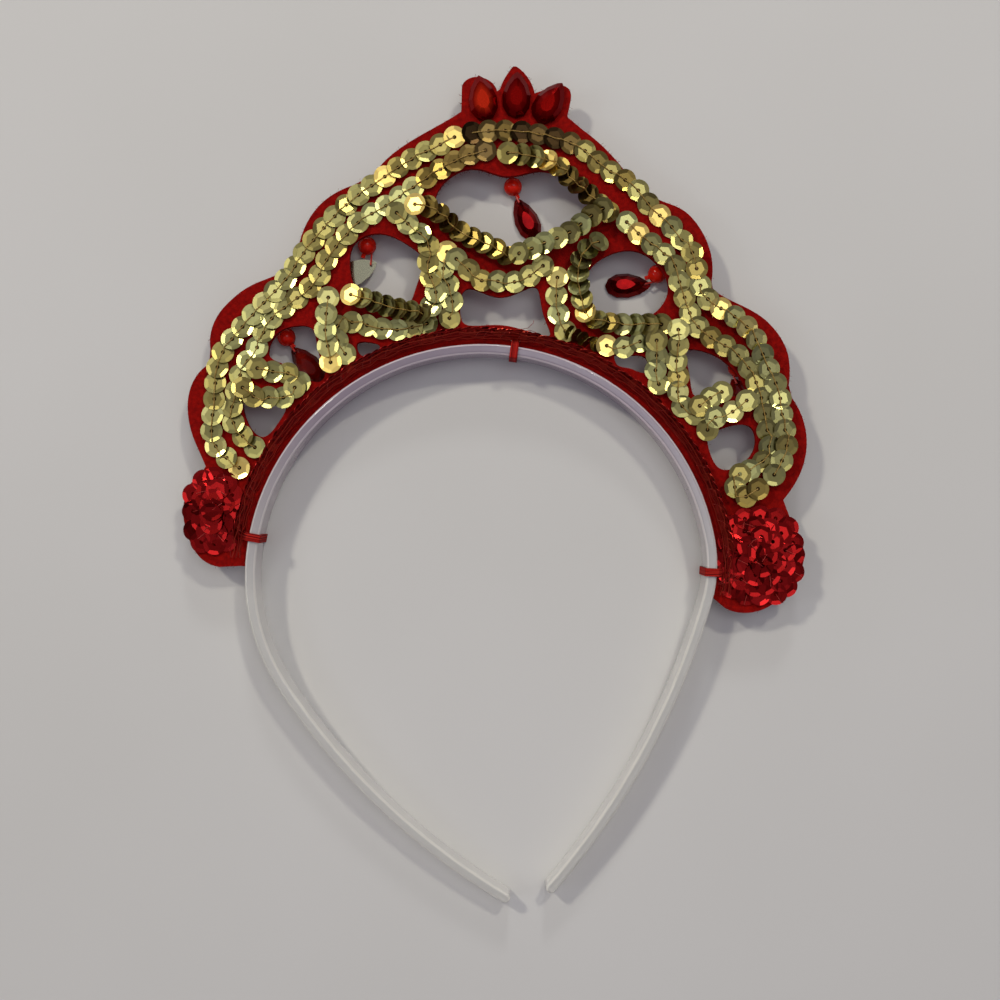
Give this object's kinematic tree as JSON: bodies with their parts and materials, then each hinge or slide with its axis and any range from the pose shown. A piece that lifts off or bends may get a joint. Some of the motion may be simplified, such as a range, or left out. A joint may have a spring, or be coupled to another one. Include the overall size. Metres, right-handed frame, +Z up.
{
  "type": "tiara headband",
  "caption": "Springy clear plastic headband with an upright scalloped felt tiara covered in gold sequins, with red gems and hanging bead and drop dangles.",
  "frame": {"origin": "centre of the arc of the band's crown, at the level of the table that the tiara lies on", "axes": "+Z up from the table, out of the tiara's front face; +Y from the head up to the crest; +X across the wearer, to the right of someone looking at the front"},
  "size_m": [0.1676, 0.2255, 0.0141],
  "materials": {
    "clear_plastic": "clear, polished",
    "red_felt": "matt, fuzzy",
    "gold_sequin": "metallic, glossy",
    "red_sequin": "clear dark red, glossy",
    "red_acrylic": "clear red, faceted, glossy",
    "red_thread": "twisted, dull",
    "nylon_thread": "thin, half clear"
  },
  "bodies": {
    "root": {"base_sequin_string": "red_sequin", "bead_left": "red_acrylic", "bead_low_left": "red_acrylic", "bead_low_right": "red_acrylic", "bead_right": "red_acrylic", "bead_top": "red_acrylic", "crest_gem_left": "red_acrylic", "crest_gem_middle": "red_acrylic", "crest_gem_right": "red_acrylic", "dome_left": "red_sequin", "dome_right": "red_sequin", "drop_left": "red_acrylic", "drop_low_left": "red_acrylic", "drop_low_right": "red_acrylic", "drop_right": "red_acrylic", "drop_top": "red_acrylic", "end_row": "gold_sequin", "headband": "clear_plastic", "left_fan_inner": "gold_sequin", "left_fan_outer": "gold_sequin", "left_leg_row": "gold_sequin", "left_low_row": "gold_sequin", "left_post_inner": "gold_sequin", "left_post_outer": "gold_sequin", "left_strut_row": "gold_sequin", "middle_row": "gold_sequin", "outer_left_row": "gold_sequin", "outer_right_row": "gold_sequin", "outer_top_row": "gold_sequin", "right_fan_inner": "gold_sequin", "right_fan_outer": "gold_sequin", "right_leg_inner": "gold_sequin", "right_leg_outer": "gold_sequin", "right_low_row": "gold_sequin", "right_post_inner": "gold_sequin", "right_post_outer": "gold_sequin", "second_left_row": "gold_sequin", "second_right_row": "gold_sequin", "second_top_row": "gold_sequin", "thread_left": "nylon_thread", "thread_low_left": "nylon_thread", "thread_low_right": "nylon_thread", "thread_right": "nylon_thread", "thread_top": "nylon_thread", "tiara_felt": "red_felt", "tie_left": "red_thread", "tie_middle": "red_thread", "tie_right": "red_thread", "v_left_row": "gold_sequin", "v_right_row": "gold_sequin"}
  },
  "joints": []
}
